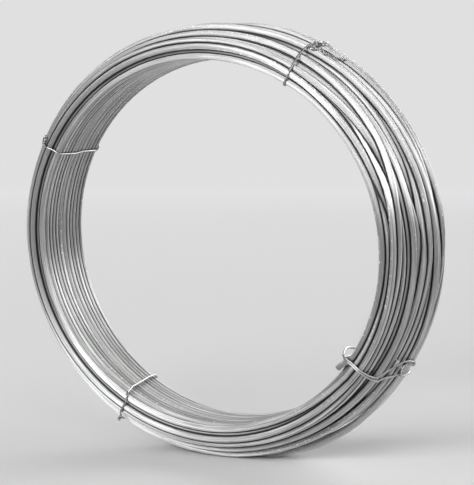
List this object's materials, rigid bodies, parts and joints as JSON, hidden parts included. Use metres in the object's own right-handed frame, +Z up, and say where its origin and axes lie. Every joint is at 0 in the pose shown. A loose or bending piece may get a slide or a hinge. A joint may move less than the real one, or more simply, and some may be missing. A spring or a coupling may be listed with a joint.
{
  "type": "coil of wire rod",
  "caption": "Coil of round galvanised steel wire rod standing on its rim, bound by four twisted tie wires.",
  "frame": {"origin": "on the floor under the middle of the coil, which stands on its rim", "axes": "+Y along the coil's axis, away from its front end; +Z up; +X to the right seen from the front"},
  "size_m": [0.5872, 0.1104, 0.5711],
  "materials": {
    "rod": "bright galvanised rod, satin with fine drawn streaks along its length",
    "tie": "galvanised soft tie wire, a little duller than the rod"
  },
  "bodies": {
    "root": {"rod_coil": "rod", "tie_wire_top_right": "tie", "tie_wire_left": "tie", "tie_wire_bottom_left": "tie", "tie_wire_bottom_right": "tie"}
  },
  "joints": []
}
